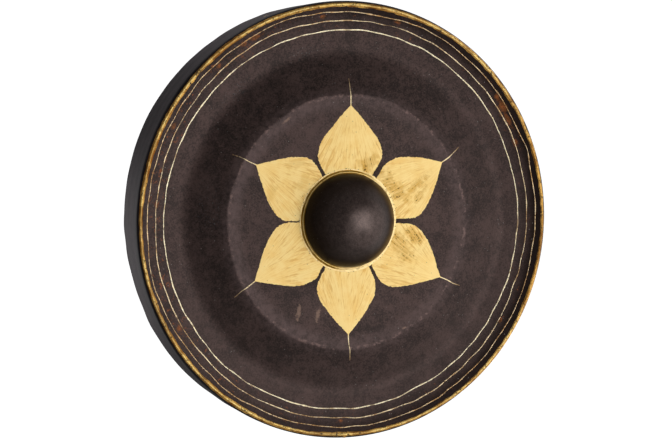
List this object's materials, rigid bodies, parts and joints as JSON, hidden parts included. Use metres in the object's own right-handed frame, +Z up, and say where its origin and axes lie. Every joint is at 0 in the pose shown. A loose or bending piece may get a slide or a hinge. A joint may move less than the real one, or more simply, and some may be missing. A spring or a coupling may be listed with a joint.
{
  "type": "bossed gong",
  "caption": "Round bossed gong of beaten brass sheet: a dished face plate with a raised plateau, a hollow domed boss, a deep tapered skirt with hanging holes, and scraped petals.",
  "frame": {"origin": "middle of the gong's box, on its axis, between the top of the boss and the skirt's back edge", "axes": "+Z up as the gong hangs, the face and boss look towards -Y, +Y runs along the axis out of the open back, +X to the viewer's right"},
  "size_m": [0.5, 0.114, 0.5],
  "materials": {
    "face_coat": "thin black-brown lacquer over beaten brass sheet, dull satin",
    "skirt_coat": "dark grey-black lacquer over brass band, satin, streaked along the band",
    "boss_coat": "near-black lacquer, rubbed to a soft shine",
    "bare_brass": "bare brass scraped by hand, satin with fine radial scratches",
    "braze": "brazed bead filed bright, uneven and pitted"
  },
  "bodies": {
    "root": {"face_plate": "face_coat", "boss": "boss_coat", "boss_seam": "braze", "rim_bead": "braze", "skirt": "skirt_coat", "skirt_seam": "braze", "petal_1": "bare_brass", "petal_2": "bare_brass", "petal_3": "bare_brass", "petal_4": "bare_brass", "petal_5": "bare_brass", "petal_6": "bare_brass", "ring_line_inner": "bare_brass", "ring_line_middle": "bare_brass", "ring_line_outer": "bare_brass"}
  },
  "joints": []
}
